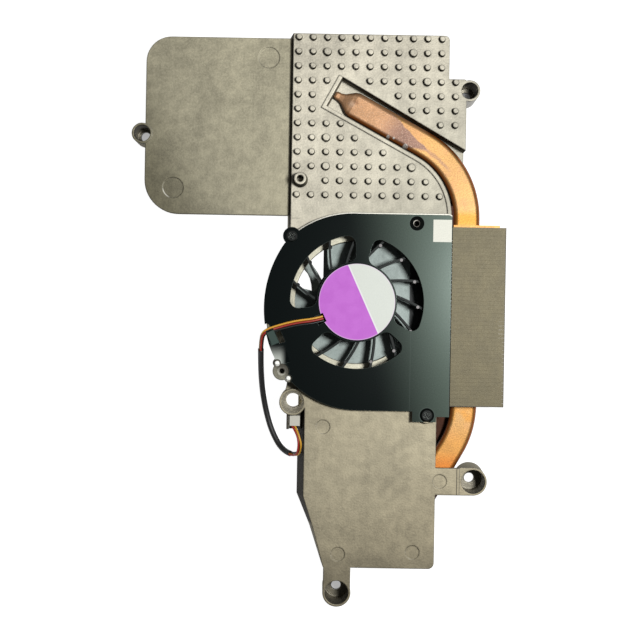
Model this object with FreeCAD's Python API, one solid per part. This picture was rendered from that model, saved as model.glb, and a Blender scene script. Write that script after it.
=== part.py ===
import FreeCAD, Part
import math
import os

from FreeCAD import Vector

# A laptop heatsink with a blower fan. Millimetres, +Z towards the viewer, z = 0 at the post feet,
# X and Y zero at the middle of the footprint.

# Levels of the casting
left_plate_top = 9.2
left_plate_thick = 2.0
pin_plate_top = 12.0
pin_plate_thick = 2.5
lower_plate_top = 12.0
lower_plate_thick = 2.0
groove_floor = 6.2
contact_level = 4.2
bay_under = 3.0
bay_floor_thick = 1.5
wall = 1.6
seat_gap = 0.02
mark_depth = 0.15

# Left plate
left_plate_left = -51.35
left_plate_top_y = 83.3
left_plate_bottom_y = 30.8
left_plate_upper_round = 7.5
left_plate_lower_round = 10.0
left_plate_marks = ((-15.0, 77.5), (-42.9, 38.5))
left_mark_r = 3.1

# Pin plate
pin_plate_left = -7.8
pin_plate_top_y = 84.25
pin_plate_narrow_right = 38.2
pin_plate_right = 43.4
pin_plate_jog_y = 71.5
pin_plate_bottom_y = 26.0
pin_plate_round = 1.5
groove_pins = ((27.4, 62.0), (35.8, 57.8))
step_foot = 6.0
step_draft = 1.0
pin_pitch = 4.2
pin_columns = 12
pin_rows = 12
first_pin = (-6.1, 83.0)
pin_r = 0.95
pin_taper = 0.17
pin_height = 1.6
pin_groove_clear = 2.55
pin_standoff_clear = 3.6
ejector_pin_grow = 0.25
ejector_pins = ((2, 3), (2, 9), (4, 10), (6, 9), (8, 3), (10, 3), (10, 9))
standoff_place = (-5.1, 41.1)
standoff_base_r = 2.2
standoff_top_r = 1.76
standoff_hole_r = 1.0
standoff_height = 4.0
standoff_hole_depth = 5.0

# Heat pipe and its groove
pipe_width = 7.9
pipe_thick = 3.0
pipe_bend_r = 25.0
pipe_tip = (4.7, 67.2)
pipe_upper_corner = (44.4, 45.7)
pipe_lower_corner = (44.4, -31.3)
pipe_end = (29.0, -58.0)
pipe_pinch_length = 6.5
pipe_shoulder_steps = 4
pipe_nub_length = 1.6
pipe_nub_width = 2.5
pipe_nub_thick = 1.6
pipe_nub_round = 0.6
pipe_seat_gap = 0.15
groove_upper_gap = 0.95
groove_upper_drop = 1.2
groove_lower_gap = 0.9
groove_floor_lower_gap = 0.5
groove_end_gap = 0.2
groove_exit_y = 20.0
groove_lip_width = 1.15
groove_lip_height = 0.35
trough_wall = 2.0

# Fan bay and fan cover
fan_axis = (12.1, 5.45)
cover_top = 15.0
cover_thick = 0.7
cover_right = 39.5
cover_round = 1.0
cover_overhang = 0.5
bay_rim = 0.4
volute = ((90, 25.8), (116, 26.4), (142, 27.2), (170, 26.9), (195, 27.7), (232, 30.2), (270, 31.65))
cover_tab_left = 28.8
cover_tab_right = 35.7
cover_tab_bottom = -29.25
cover_heel_y = -27.7
inlet_outer_r = 19.5
inlet_inner_r = 11.7
inlet_round = 2.4
inlet_spans = ((92, 187), (224, 318), (-28, 76))
outlet_low_y = -24.6
outlet_high_y = 27.8
shoulder_r = 18.35
shoulder_top = 6.9
shoulder_from = 92
shoulder_to = 300
floor_inlet_inner_r = 12.4
floor_inlet_outer_r = 18.5
floor_inlet_span = (118, 166)
floor_inlet_right = 2.15
wire_window_from = 10.4
wire_window_to = 13.0
wire_window_wide = 2.7
wire_angle = 206.0
wire_notch_place = (-14.0, -2.2)
wire_notch_r = 0.9
hook_root = (-11.3, -7.3)
hook_turn = 25.0
hook_tilt = 18.5
hook_width = 2.3
hook_length = 4.85
hook_thick = 0.3
hook_slot = (-10.2, -5.2)
hook_slot_size = (1.8, 3.6)
pressed_rim_place = (-8.9, -7.7)
pressed_rim_turn = 200.0
pressed_rim_wide = 4.2
pressed_rim_long = 5.0
pressed_rim_drop = 0.62

# Cover screws, one of the three places is empty
lobe_place = (-7.23, 24.4)
lobe_r = 2.6
tab_hole_place = (33.05, -27.3)
bare_hole_place = (29.2, 28.67)
boss_r = 2.4
tap_r = 0.8
tap_depth = 5.0
cover_hole_r = 1.05
dimple_r = 2.1
dimple_depth = 0.35
screw_head_r = 1.7
screw_head_high = 0.7
screw_round = 0.3
screw_length = 4.5
cross_long = 2.0
cross_wide = 0.45
cross_deep = 0.4

# Screw lug beside the cover and its two locating pins
lug_place = (-9.5, -15.1)
lug_r = 2.7
lug_under = 6.0
lug_hole_r = 0.7
lug_notch_r = 2.2
lug_pins = ((-10.9, -12.7), (-7.5, -17.1))
lug_pin_r = 0.7
lug_pin_pad_r = 1.3
lug_pin_room = 0.35

# Lower plate with its flared skirt
lower_left = -2.7
lower_right = 36.1
lower_top_y = -25.0
web_plan = ((-5.0, -26.0), (10.0, -26.0), (10.0, -20.0), (-1.0, -18.0), (-5.0, -20.5))
lower_bottom_y = -72.7
lower_slant = ((0.0, -51.9), (3.1, -61.5), (6.2, -72.7))
lower_round = 1.8
skirt_foot = 2.0
skirt_flare = (2.1, 2.1, 1.2, 0.6)
skirt_drop = 0.3
bay_rib_y = -29.0
leg_left = 3.6
leg_right = 11.6
arm_top_y = -43.0
arm_bottom_y = -50.9
arm_end_x = 43.2
arm_thick = 2.0
gusset_right = 42.0
gusset_turn_y = -30.0
gusset_low_y = -39.5
lower_marks = ((2.8, -31.4), (7.8, -68.8), (29.7, -67.9), (37.4, -46.9))
lower_mark_r = 2.06

# Saddle over the buried end of the pipe, and the copper plate under it
saddle_x = (16.0, 35.6)
saddle_y = (-64.0, -41.0)
contact_plate_x = (17.0, 35.0)
contact_plate_y = (-63.0, -42.0)

# Screw posts: place, outer radius, bore radius, top
post_left = ((-52.3, 54.5), 3.05, 2.45, 9.5)
post_upper = ((44.3, 68.2), 3.1, 2.45, pin_plate_top)
post_lower = ((7.6, -80.1), 4.15, 3.5, lower_plate_top)
post_right = ((47.3, -46.9), 4.05, 3.5, 11.6)
post_middle = ((-6.3, -24.3), 3.9, 3.3, lower_plate_top)
post_floor = 1.5
post_hole_r = 1.45
post_right_draft = 0.5
post_middle_floor = 6.0
post_middle_hole_r = 2.1
post_middle_throat_r = 2.3
post_middle_flat = 1.6

# Fins
fin_left = 39.7
fin_right = 55.35
fin_top = 14.8
fin_sheet = 0.2
fin_count = 44
fin_seam = 0.08
fin_base_thick = 0.6
fin_base_left = 40.5
fin_base_right = 54.2
fin_base_past = 1.0

# Motor: the stator hangs under the cover's centre disc, the rotor hangs in its bearing
tube_r = 2.2
tube_bottom = 8.0
tube_flange_r = 3.0
tube_flange_thick = 0.4
bearing_r = 1.6
bearing_bottom = 8.2
bearing_top = 14.0
running_gap = 0.03
shaft_r = 0.75
shaft_top = 14.65
clip_r = 1.4
clip_thick = 0.26
clip_groove_r = 0.55
clip_groove_wide = 0.3
clip_gap = 0.1
board_r = 10.6
board_inner_r = 3.2
board_thick = 0.8
core_bottom = 9.2
core_thick = 2.4
core_ring_r = 3.8
pole_arm_wide = 2.4
pole_shoe_inner_r = 6.6
pole_shoe_r = 8.1
pole_shoe_half = 36.0
poles = 4
coil_wide = 4.6
coil_over = 0.9
coil_from = 3.95
coil_to = 6.1
hub_r = 11.2
hub_under = 5.6
hub_floor = 0.8
hub_wall = 0.8
hub_top = 13.0
hub_boss_r = 1.8
hub_boss_top = 7.7
yoke_sheet = 0.6
yoke_top = 12.6
magnet_inner_r = 8.5
magnet_top = 12.0
blade_count = 15
blade_root_r = 11.0
blade_tip_r = 20.2
blade_mid_r = 14.6
blade_thick = 0.7
blade_bottom = 7.4
blade_top = 13.2
blade_first = -3.8
blade_sweep = 15.5
blade_mid_sweep = 6.8
blade_tip_sweep = -2.4
blade_bead_r = 0.45
blade_bead_place = 17.95
blade_bead_rise = 0.15

# Stickers
label_r = 11.15
label_thick = 0.1
date_place = (36.7, 26.6)
date_size = (5.4, 6.5)

# Fan lead: three wires, a sleeve over most of the free stretch, and a plug
wire_d = 0.6
wire_spacing = 0.75
sleeve_bore_gap = 0.06
sleeve_wall = 0.07
lead_route = (
    (2.35, 0.45, 14.9),
    (-0.5, -0.35, 15.42),
    (-5.4, -0.95, 15.4),
    (-10.4, -2.3, 15.42),
    (-15.1, -3.75, 15.7),
    (-15.75, -7.0, 13.4),
    (-15.95, -11.2, 9.8),
    (-15.9, -16.8, 6.2),
    (-15.4, -22.6, 3.3),
    (-14.3, -28.4, 1.7),
    (-12.5, -34.2, 1.4),
    (-9.3, -39.5, 3.0),
    (-4.6, -40.7, 7.6),
    (-3.8, -37.0, 10.4),
    (-4.45, -33.6, 10.2),
)
flat_steps = 5
sleeve_start_steps = 5
sleeve_end_steps = 11
sleeve_end_share = 0.5
roll_step = 40.0
yellow_place = (1, -30.0)
red_place = (0, 90.0)
black_place = (-1, 210.0)
plug_x = (-7.05, -4.05)
plug_y = (-31.4, -28.4)
plug_z = (8.0, 10.4)
plug_pitch = 0.9
plug_slot = (0.62, 0.9)
plug_slot_gap = 0.03
shelf_left = -8.0
shelf_under = 5.5
shelf_cheek = 0.7
shelf_cheek_top = 10.4
shelf_bottom_y = -32.4

# Values worked out from the sizes above
pin_plate_under = pin_plate_top - pin_plate_thick
bay_floor = bay_under + bay_floor_thick
cover_under = cover_top - cover_thick
bay_wall_inset = cover_overhang + wall
pipe_top = groove_floor + pipe_thick
fin_bottom = pipe_top + fin_base_thick
fin_pitch = (outlet_high_y - outlet_low_y) / fin_count
board_bottom = cover_under - board_thick
yoke_r = hub_r - hub_wall - seat_gap
magnet_r = yoke_r - yoke_sheet - seat_gap
hub_inside = hub_under + hub_floor
lower_left_x = [lower_left + step[0] for step in lower_slant]
wire_r = wire_d / 2
bundle_ring_r = wire_spacing / math.sqrt(3)
bundle_r = bundle_ring_r + wire_r
sleeve_r = bundle_r + sleeve_bore_gap + sleeve_wall
plug_middle_x = (plug_x[0] + plug_x[1]) / 2
plug_slot_z = (plug_z[0] + plug_z[1]) / 2
plug_slots_x = [plug_middle_x + plug_pitch * step for step in (-1, 0, 1)]
posts = (post_left, post_upper, post_lower, post_right)
over = 1.0


def polar(radius, degrees, z=0.0):
    turn = math.radians(degrees)
    return Vector(fan_axis[0] + radius * math.cos(turn), fan_axis[1] + radius * math.sin(turn), z)


def disc(place, radius, low, high):
    return Part.makeCylinder(radius, high - low, Vector(place[0], place[1], low))


def ring(place, outer, inner, low, high):
    return disc(place, outer, low, high).cut(disc(place, inner, low - over, high + over))


def block(x, y, z):
    return Part.makeBox(x[1] - x[0], y[1] - y[0], z[1] - z[0], Vector(x[0], y[0], z[0]))


def line(start, end):
    return Part.LineSegment(start, end).toShape()


def arc(start, middle, end):
    return Part.Arc(start, middle, end).toShape()


def rise(wire, height):
    return Part.Face(wire).extrude(Vector(0, 0, height))


def rounded_wire(corners, z):
    # Closed outline of straight edges, with an arc at each corner that gives a radius
    points = [Vector(corner[0], corner[1], z) for corner in corners]
    starts = []
    ends = []
    arcs = []
    for index, point in enumerate(points):
        radius = corners[index][2] if len(corners[index]) > 2 else 0.0
        back = (points[index - 1] - point).normalize()
        ahead = (points[(index + 1) % len(points)] - point).normalize()
        half = back.getAngle(ahead) / 2
        reach = radius / math.tan(half)
        starts.append(point + back * reach)
        ends.append(point + ahead * reach)
        inward = (back + ahead).normalize()
        middle = point + inward * (radius / math.sin(half) - radius)
        arcs.append(arc(starts[-1], middle, ends[-1]) if radius > 0 else None)
    edges = []
    for index in range(len(points)):
        edges.append(line(ends[index - 1], starts[index]))
        if arcs[index]:
            edges.append(arcs[index])
    return Part.Wire(edges)


def slab(corners, low, high):
    return rise(rounded_wire(corners, low), high - low)


def sector(inner, outer, span, low, high):
    # Ring sector about the fan axis
    middle = (span[0] + span[1]) / 2
    edges = [
        arc(polar(outer, span[0], low), polar(outer, middle, low), polar(outer, span[1], low)),
        line(polar(outer, span[1], low), polar(inner, span[1], low)),
        arc(polar(inner, span[1], low), polar(inner, middle, low), polar(inner, span[0], low)),
        line(polar(inner, span[0], low), polar(outer, span[0], low)),
    ]
    return rise(Part.Wire(edges), high - low)


def kidney(inner, outer, span, low, high, radius):
    body = sector(inner, outer, span, low, high)
    upright = [edge for edge in body.Edges if abs(edge.BoundBox.ZLength - (high - low)) < 0.001]
    return body.makeFillet(radius, upright)


def bay_wire(inset, z, foot):
    # Outline of the fan bay: straight top and right side, spiral on the left
    spiral = [polar(radius - inset, degrees, z) for degrees, radius in volute]
    right = cover_right - inset
    top_y = spiral[0].y
    turn = cover_round - min(inset, cover_round / 2)
    middle = turn * (1 - math.sqrt(0.5))
    corner = [Vector(right, top_y - turn, z), Vector(right - middle, top_y - middle, z),
              Vector(right - turn, top_y, z)]
    path = [Vector(place[0], place[1], z) for place in foot] + [corner[0]]
    edges = [arc(*corner), line(corner[2], spiral[0])]
    edges += [arc(*spiral[step:step + 3]) for step in (0, 2, 4)]
    edges += [line(start, end) for start, end in zip([spiral[-1]] + path, path)]
    return Part.Wire(edges)


def plain_bay(inset, low, high):
    bottom = fan_axis[1] - volute[-1][1] + inset
    return rise(bay_wire(inset, low, [(cover_right - inset, bottom)]), high - low)


def pipe_run(start, end):
    # Heading of one straight run of the pipe, and the direction to its right
    heading = Vector(end[0] - start[0], end[1] - start[1], 0).normalize()
    return heading, Vector(heading.y, -heading.x, 0)


def bend_centre(before, corner, after, z):
    first, right = pipe_run(before, corner)
    second, unused = pipe_run(corner, after)
    reach = pipe_bend_r * math.tan(first.getAngle(second) / 2)
    return Vector(corner[0], corner[1], z) - first * reach + right * pipe_bend_r


def pipe_side(shift, z, start_ahead, end_ahead):
    # One side of the pipe's plan, shifted to the left of its course, as line-arc-line-arc-line
    stops = (pipe_tip, pipe_upper_corner, pipe_lower_corner, pipe_end)
    runs = [pipe_run(start, end) for start, end in zip(stops, stops[1:])]
    centres = [bend_centre(*stops[step:step + 3], z) for step in (0, 1)]
    radius = pipe_bend_r + shift
    here = Vector(*pipe_tip, z) - runs[0][1] * shift + runs[0][0] * start_ahead
    edges = []
    for step in (0, 1):
        enter = centres[step] - runs[step][1] * radius
        leave = centres[step] - runs[step + 1][1] * radius
        outward = (runs[step][1] + runs[step + 1][1]).normalize()
        edges.append(line(here, enter))
        edges.append(arc(enter, centres[step] - outward * radius, leave))
        here = leave
    last = Vector(*pipe_end, z) - runs[2][1] * shift + runs[2][0] * end_ahead
    edges.append(line(here, last))
    return edges


def groove_wire(upper, lower, end, z):
    # Plan of the groove: square end, straight upper edge, lower edge that follows the bend
    half = pipe_width / 2
    heading, right = pipe_run(pipe_tip, pipe_upper_corner)
    tip = Vector(*pipe_tip, z) - heading * end
    top_start = tip - right * (half + upper)
    reach = (pin_plate_right - top_start.x) / heading.x
    top_exit = top_start + heading * reach - Vector(0, groove_upper_drop, 0)
    top_end = top_exit + (top_exit - top_start).normalize() * pipe_width * 2
    below = pipe_side(-half - lower, z, -end, 0)
    arc_end = below[1].valueAt(below[1].LastParameter)
    exit_point = Vector(arc_end.x, groove_exit_y, z)
    far = Vector(top_end.x, groove_exit_y, z)
    low_start = below[0].valueAt(below[0].FirstParameter)
    edges = [line(top_start, top_end), line(top_end, far), line(far, exit_point),
             line(exit_point, arc_end), below[1], below[0], line(low_start, top_start)]
    return Part.Wire(Part.__sortEdges__(edges))


def pin_plate_corners():
    arc_end_x = pipe_upper_corner[0] - pipe_width / 2 - groove_lower_gap
    return [(pin_plate_left, pin_plate_top_y), (pin_plate_left, pin_plate_bottom_y),
            (arc_end_x, pin_plate_bottom_y), (arc_end_x, pin_plate_bottom_y + 4),
            (pin_plate_right, pipe_upper_corner[1]), (pin_plate_right, pin_plate_jog_y, pin_plate_round / 2),
            (pin_plate_narrow_right, pin_plate_jog_y),
            (pin_plate_narrow_right, pin_plate_top_y, pin_plate_round)]


def pin_places():
    # Grid places on the plate that stand clear of the groove, the standoff and the edges
    plate = Part.Face(rounded_wire(pin_plate_corners(), 0))
    room = Part.Face(groove_wire(groove_lower_gap, groove_lower_gap, groove_end_gap, 0))
    standoff = Part.Vertex(*standoff_place, 0)
    for row in range(1, pin_rows + 1):
        for column in range(1, pin_columns + 1):
            place = Vector(first_pin[0] + (column - 1) * pin_pitch, first_pin[1] - (row - 1) * pin_pitch, 0)
            spot = Part.Vertex(place)
            inside = plate.isInside(place, 0.001, True)
            edge_room = plate.OuterWire.distToShape(spot)[0] - pin_r
            clear = room.distToShape(spot)[0] - pin_groove_clear
            apart = standoff.distToShape(spot)[0] - pin_standoff_clear
            if inside and min(edge_room, clear, apart) > 0:
                yield (row, column), place


def pins():
    solids = []
    for grid, place in pin_places():
        radius = pin_r + (ejector_pin_grow if grid in ejector_pins else 0)
        base = Vector(place.x, place.y, pin_plate_top - mark_depth)
        solids.append(Part.makeCone(radius, radius - pin_taper, pin_height + mark_depth, base))
    for place in groove_pins:
        base = Vector(*place, pin_plate_top - mark_depth)
        solids.append(Part.makeCone(pin_r, pin_r - pin_taper, pin_height + mark_depth, base))
    return solids


def post_web():
    # Joins the middle post and the lower plate to the fan bay's wall
    web = slab(web_plan, lower_plate_top - lower_plate_thick, lower_plate_top)
    return web.cut(plain_bay(cover_overhang + wall / 2, 0, cover_top))


def pin_plate():
    corners = pin_plate_corners()
    plate = slab(corners, pin_plate_under, pin_plate_top)
    step_plan = [Vector(pin_plate_left, pin_plate_bottom_y, pin_plate_top),
                 Vector(pin_plate_left + wall, pin_plate_bottom_y, pin_plate_top),
                 Vector(pin_plate_left + wall, pin_plate_bottom_y, step_foot),
                 Vector(pin_plate_left - step_draft, pin_plate_bottom_y, step_foot)]
    step_face = Part.Face(Part.makePolygon(step_plan + step_plan[:1]))
    step_wall = step_face.extrude(Vector(0, pin_plate_top_y - pin_plate_bottom_y, 0))
    outer = groove_wire(groove_upper_gap + trough_wall, groove_lower_gap + trough_wall,
                        groove_end_gap + trough_wall, contact_level)
    trough = rise(outer, pin_plate_top - contact_level)
    trough = trough.common(slab(corners, contact_level, pin_plate_top))
    lip_outer = groove_wire(groove_upper_gap, groove_lower_gap + groove_lip_width,
                            groove_end_gap + groove_lip_width, pin_plate_top - mark_depth)
    lip = rise(lip_outer, groove_lip_height + mark_depth)
    lip = lip.common(slab(corners, pin_plate_under, pin_plate_top + over))
    standoff_base = Vector(*standoff_place, pin_plate_top - mark_depth)
    standoff = Part.makeCone(standoff_base_r, standoff_top_r, standoff_height + mark_depth, standoff_base)
    rim = plain_bay(-bay_rim, pin_plate_under, cover_under)
    rim = rim.common(slab(corners, pin_plate_under, cover_top))
    return [plate, step_wall, trough, lip, standoff, rim] + pins()


def groove_cut():
    low = groove_wire(groove_upper_gap, groove_floor_lower_gap, groove_end_gap, groove_floor)
    high = groove_wire(groove_upper_gap, groove_lower_gap, groove_end_gap, pin_plate_top)
    drafted = Part.makeLoft([low, high], True, True)
    return [drafted, rise(high, standoff_height)]


def left_plate():
    return slab([(left_plate_left, left_plate_top_y, left_plate_upper_round),
                 (left_plate_left, left_plate_bottom_y, left_plate_lower_round),
                 (pin_plate_left + wall, left_plate_bottom_y), (pin_plate_left + wall, left_plate_top_y)],
                left_plate_top - left_plate_thick, left_plate_top)


def lower_plate():
    flares = list(zip(skirt_flare[1:], lower_slant))
    top = [(lower_left, lower_top_y)] + [(lower_left + x, y) for x, y in lower_slant]
    top += [(lower_right, lower_bottom_y, lower_round), (lower_right, lower_top_y)]
    foot = [(lower_left - skirt_flare[0], lower_top_y)]
    foot += [(lower_left + x - flare, y - skirt_drop) for flare, (x, y) in flares]
    foot += [(lower_right, lower_bottom_y - skirt_drop, lower_round), (lower_right, lower_top_y)]
    body = Part.makeLoft([rounded_wire(foot, skirt_foot), rounded_wire(top, lower_plate_top)], True, True)
    hollow = [(lower_left + wall, bay_rib_y)] + [(lower_left + wall + x, y) for x, y in lower_slant[:2]]
    hollow += [(lower_left + wall + lower_slant[2][0], lower_bottom_y + wall),
               (lower_right + over, lower_bottom_y + wall), (lower_right + over, bay_rib_y)]
    body = body.cut(slab(hollow, skirt_foot - over, lower_plate_top - lower_plate_thick))
    leg = block((leg_left, leg_right), (post_lower[0][1], lower_bottom_y + wall),
                (lower_plate_top - 2 * lower_plate_thick, lower_plate_top))
    arm = block((lower_right - wall, arm_end_x), (arm_bottom_y, arm_top_y),
                (lower_plate_top - arm_thick, lower_plate_top))
    place, outer, bore, top = post_right
    arm_head = block((arm_end_x, place[0]), (place[1] - outer, place[1] + outer), (top - arm_thick, top))
    gusset_plan = [(lower_right - wall, lower_top_y), (lower_right - wall, gusset_low_y),
                   (lower_right + over, gusset_low_y), (gusset_right, gusset_turn_y),
                   (gusset_right, lower_top_y)]
    gusset = slab(gusset_plan, bay_under, bay_floor)
    saddle = block(saddle_x, saddle_y, (groove_floor, lower_plate_top - lower_plate_thick + mark_depth))
    return [body, leg, arm, arm_head, gusset, saddle]


def saddle_cut():
    half = pipe_width / 2 + pipe_seat_gap
    left = pipe_side(half, groove_floor, 0, pipe_seat_gap)[2:]
    right = pipe_side(-half, groove_floor, 0, pipe_seat_gap)[2:]
    left_end = left[-1].valueAt(left[-1].LastParameter)
    right_end = right[-1].valueAt(right[-1].LastParameter)
    left_start = left[0].valueAt(left[0].FirstParameter)
    right_start = right[0].valueAt(right[0].FirstParameter)
    edges = left + right + [line(left_end, right_end), line(left_start, right_start)]
    return rise(Part.Wire(Part.__sortEdges__(edges)), pipe_thick + pipe_seat_gap)


def fan_bay():
    shell = plain_bay(cover_overhang, bay_under, cover_under)
    shell = shell.cut(plain_bay(bay_wall_inset, bay_floor, cover_top))
    gate = block((fan_axis[0], fin_right), (outlet_low_y, outlet_high_y), (bay_floor, cover_top))
    shell = shell.cut(gate.cut(disc(fan_axis, shoulder_r, bay_floor, cover_top)))
    ledge = sector(shoulder_r, volute[-1][1] + wall, (shoulder_from, shoulder_to), bay_under, shoulder_top)
    ledge = ledge.common(plain_bay(cover_overhang + mark_depth, bay_under, cover_under))
    bosses = [disc(place, boss_r, bay_under, cover_under)
              for place in (lobe_place, tab_hole_place, bare_hole_place)]
    lug = [disc(lug_place, lug_r, lug_under, cover_under)]
    lug += [disc(place, lug_pin_pad_r, lug_under, cover_under) for place in lug_pins]
    lug += [disc(place, lug_pin_r, lug_under, cover_top) for place in lug_pins]
    return [shell, ledge] + bosses + lug


def connector_shelf():
    right = lower_left - skirt_flare[0] / 2
    y = (shelf_bottom_y, lower_top_y)
    shelf = block((shelf_left, right), y, (shelf_under, plug_z[0]))
    cheek = block((shelf_left, shelf_left + shelf_cheek), y, (shelf_under, shelf_cheek_top))
    return [shelf, cheek]


def casting_holes():
    cuts = []
    for place, outer, bore, top in posts:
        cuts.append(disc(place, bore, post_floor, top + over))
        cuts.append(disc(place, post_hole_r, -over, post_floor + over))
    place, outer, bore, top = post_middle
    funnel_foot = Vector(*place, post_middle_floor)
    cuts.append(Part.makeCone(post_middle_throat_r, bore, top - post_middle_floor, funnel_foot))
    cuts.append(disc(place, post_middle_hole_r, -over, post_floor))
    flat = block((place[0] + post_middle_flat, place[0] + outer), (place[1] - outer, place[1] + outer),
                 (post_floor, post_middle_floor))
    cuts.append(disc(place, post_middle_throat_r, post_floor, post_middle_floor).cut(flat))
    taps = (lobe_place, tab_hole_place, bare_hole_place)
    cuts += [disc(spot, tap_r, cover_under - tap_depth, cover_top) for spot in taps]
    cuts.append(disc(lug_place, lug_hole_r, cover_under - tap_depth, cover_top))
    hole_low = pin_plate_top + standoff_height - standoff_hole_depth
    cuts.append(disc(standoff_place, standoff_hole_r, hole_low, pin_plate_top + standoff_height + over))
    inlet = kidney(floor_inlet_inner_r, floor_inlet_outer_r, floor_inlet_span,
                   bay_under - over, shoulder_top + over, inlet_round / 2)
    kept = block((floor_inlet_right, fan_axis[0]), (fan_axis[1], pin_plate_bottom_y), (0, pin_plate_top))
    cuts.append(inlet.cut(kept))
    for spot in left_plate_marks:
        cuts.append(disc(spot, left_mark_r, left_plate_top - mark_depth, left_plate_top + over))
    for spot in lower_marks:
        cuts.append(disc(spot, lower_mark_r, lower_plate_top - mark_depth, lower_plate_top + over))
    return cuts


def base_casting():
    post_solids = [disc(place, outer, 0, top) for place, outer, bore, top in posts + (post_middle,)]
    post_solids.append(post_web())
    place, outer, bore, top = post_right
    post_solids.append(Part.makeCone(outer + post_right_draft, outer, top, Vector(*place, 0)))
    solids = pin_plate() + [left_plate()] + lower_plate() + post_solids + connector_shelf()
    body = solids[0].multiFuse(solids[1:])
    body = body.cut(plain_bay(bay_wall_inset, bay_under, pin_plate_top + standoff_height))
    body = body.multiFuse(fan_bay())
    body = body.cut(groove_cut() + [saddle_cut()] + casting_holes())
    return body.removeSplitter()


def stadium(width, thick, place, heading):
    # Flattened tube section, standing across its course
    across = Vector(-heading.y, heading.x, 0)
    up = Vector(0, 0, 1)
    flat = (width - thick) / 2
    left = place + across * flat
    right = place - across * flat
    radius = thick / 2
    edges = [line(right + up * radius, left + up * radius),
             arc(left + up * radius, left + across * radius, left - up * radius),
             line(left - up * radius, right - up * radius),
             arc(right - up * radius, right - across * radius, right + up * radius)]
    return Part.Wire(edges)


def pipe_tail(place, out):
    # Pinched end of the pipe: a smooth shoulder, then the sealed nub
    shoulder = pipe_pinch_length - pipe_nub_length
    sections = []
    for step in range(pipe_shoulder_steps + 1):
        share = step / pipe_shoulder_steps
        eased = share * share * (3 - 2 * share)
        width = pipe_width + (pipe_nub_width - pipe_width) * eased
        thick = pipe_thick + (pipe_nub_thick - pipe_thick) * eased
        sections.append(stadium(width, thick, place + out * shoulder * share, out))
    tip = place + out * pipe_pinch_length
    sections.append(stadium(pipe_nub_width, pipe_nub_thick, tip - out * pipe_nub_round, out))
    sections.append(stadium(pipe_nub_width - pipe_nub_round, pipe_nub_thick - pipe_nub_round, tip, out))
    return Part.makeLoft(sections, True, True)


def heat_pipe():
    z = groove_floor + pipe_thick / 2
    first, unused = pipe_run(pipe_tip, pipe_upper_corner)
    last, unused = pipe_run(pipe_lower_corner, pipe_end)
    course = Part.Wire(pipe_side(0, z, pipe_pinch_length, -pipe_pinch_length))
    start = Vector(*pipe_tip, z) + first * pipe_pinch_length
    end = Vector(*pipe_end, z) - last * pipe_pinch_length
    tube = course.makePipeShell([stadium(pipe_width, pipe_thick, start, first)], True, False)
    return tube.multiFuse([pipe_tail(start, first * -1), pipe_tail(end, last)]).removeSplitter()


def fin_base_plate():
    return block((fin_base_left, fin_base_right), (outlet_low_y, outlet_high_y + fin_base_past),
                 (pipe_top, fin_bottom))


def fin_stack():
    # Folded fins, each a web with a flange at the top and at the foot that reaches the next web
    fins = []
    for step in range(fin_count):
        y = outlet_low_y + step * fin_pitch
        reach = y + fin_pitch - fin_seam
        section = [(y, fin_bottom), (reach, fin_bottom), (reach, fin_bottom + fin_sheet),
                   (y + fin_sheet, fin_bottom + fin_sheet), (y + fin_sheet, fin_top - fin_sheet),
                   (reach, fin_top - fin_sheet), (reach, fin_top), (y, fin_top)]
        corners = [Vector(fin_left, a, b) for a, b in section]
        face = Part.Face(Part.makePolygon(corners + corners[:1]))
        fins.append(face.extrude(Vector(fin_right - fin_left, 0, 0)))
    return Part.makeCompound(fins)


def cpu_contact_plate():
    return block(contact_plate_x, contact_plate_y, (contact_level, groove_floor))


def wire_window(low, high):
    half = wire_window_wide / 2
    body = block((wire_window_from, wire_window_to), (-half, half), (low, high))
    body.rotate(Vector(0, 0, 0), Vector(0, 0, 1), wire_angle)
    body.translate(Vector(*fan_axis, 0))
    return body


def turned_block(size, place, degrees, low, high):
    body = block((-size[0] / 2, size[0] / 2), (-size[1] / 2, size[1] / 2), (low, high))
    body.rotate(Vector(0, 0, 0), Vector(0, 0, 1), degrees)
    body.translate(Vector(place[0], place[1], 0))
    return body


def wire_hook():
    # Tongue of the cover sheet, bent up over the wires
    body = block((-hook_width / 2, hook_width / 2), (0, hook_length), (-hook_thick, 0))
    body.rotate(Vector(0, 0, 0), Vector(1, 0, 0), hook_tilt)
    body.rotate(Vector(0, 0, 0), Vector(0, 0, 1), hook_turn)
    body.translate(Vector(*hook_root, cover_top))
    return body


def pressed_rim():
    # Wedge taken off the cover's face where its rim is pressed down beside the lug
    corners = [Vector(0, 0, 0), Vector(0, 0, over), Vector(pressed_rim_wide, 0, over),
               Vector(pressed_rim_wide, 0, -pressed_rim_drop)]
    wedge = Part.Face(Part.makePolygon(corners + corners[:1])).extrude(Vector(0, pressed_rim_long, 0))
    wedge.rotate(Vector(0, 0, 0), Vector(0, 0, 1), pressed_rim_turn)
    wedge.translate(Vector(*pressed_rim_place, cover_top))
    return wedge


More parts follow.
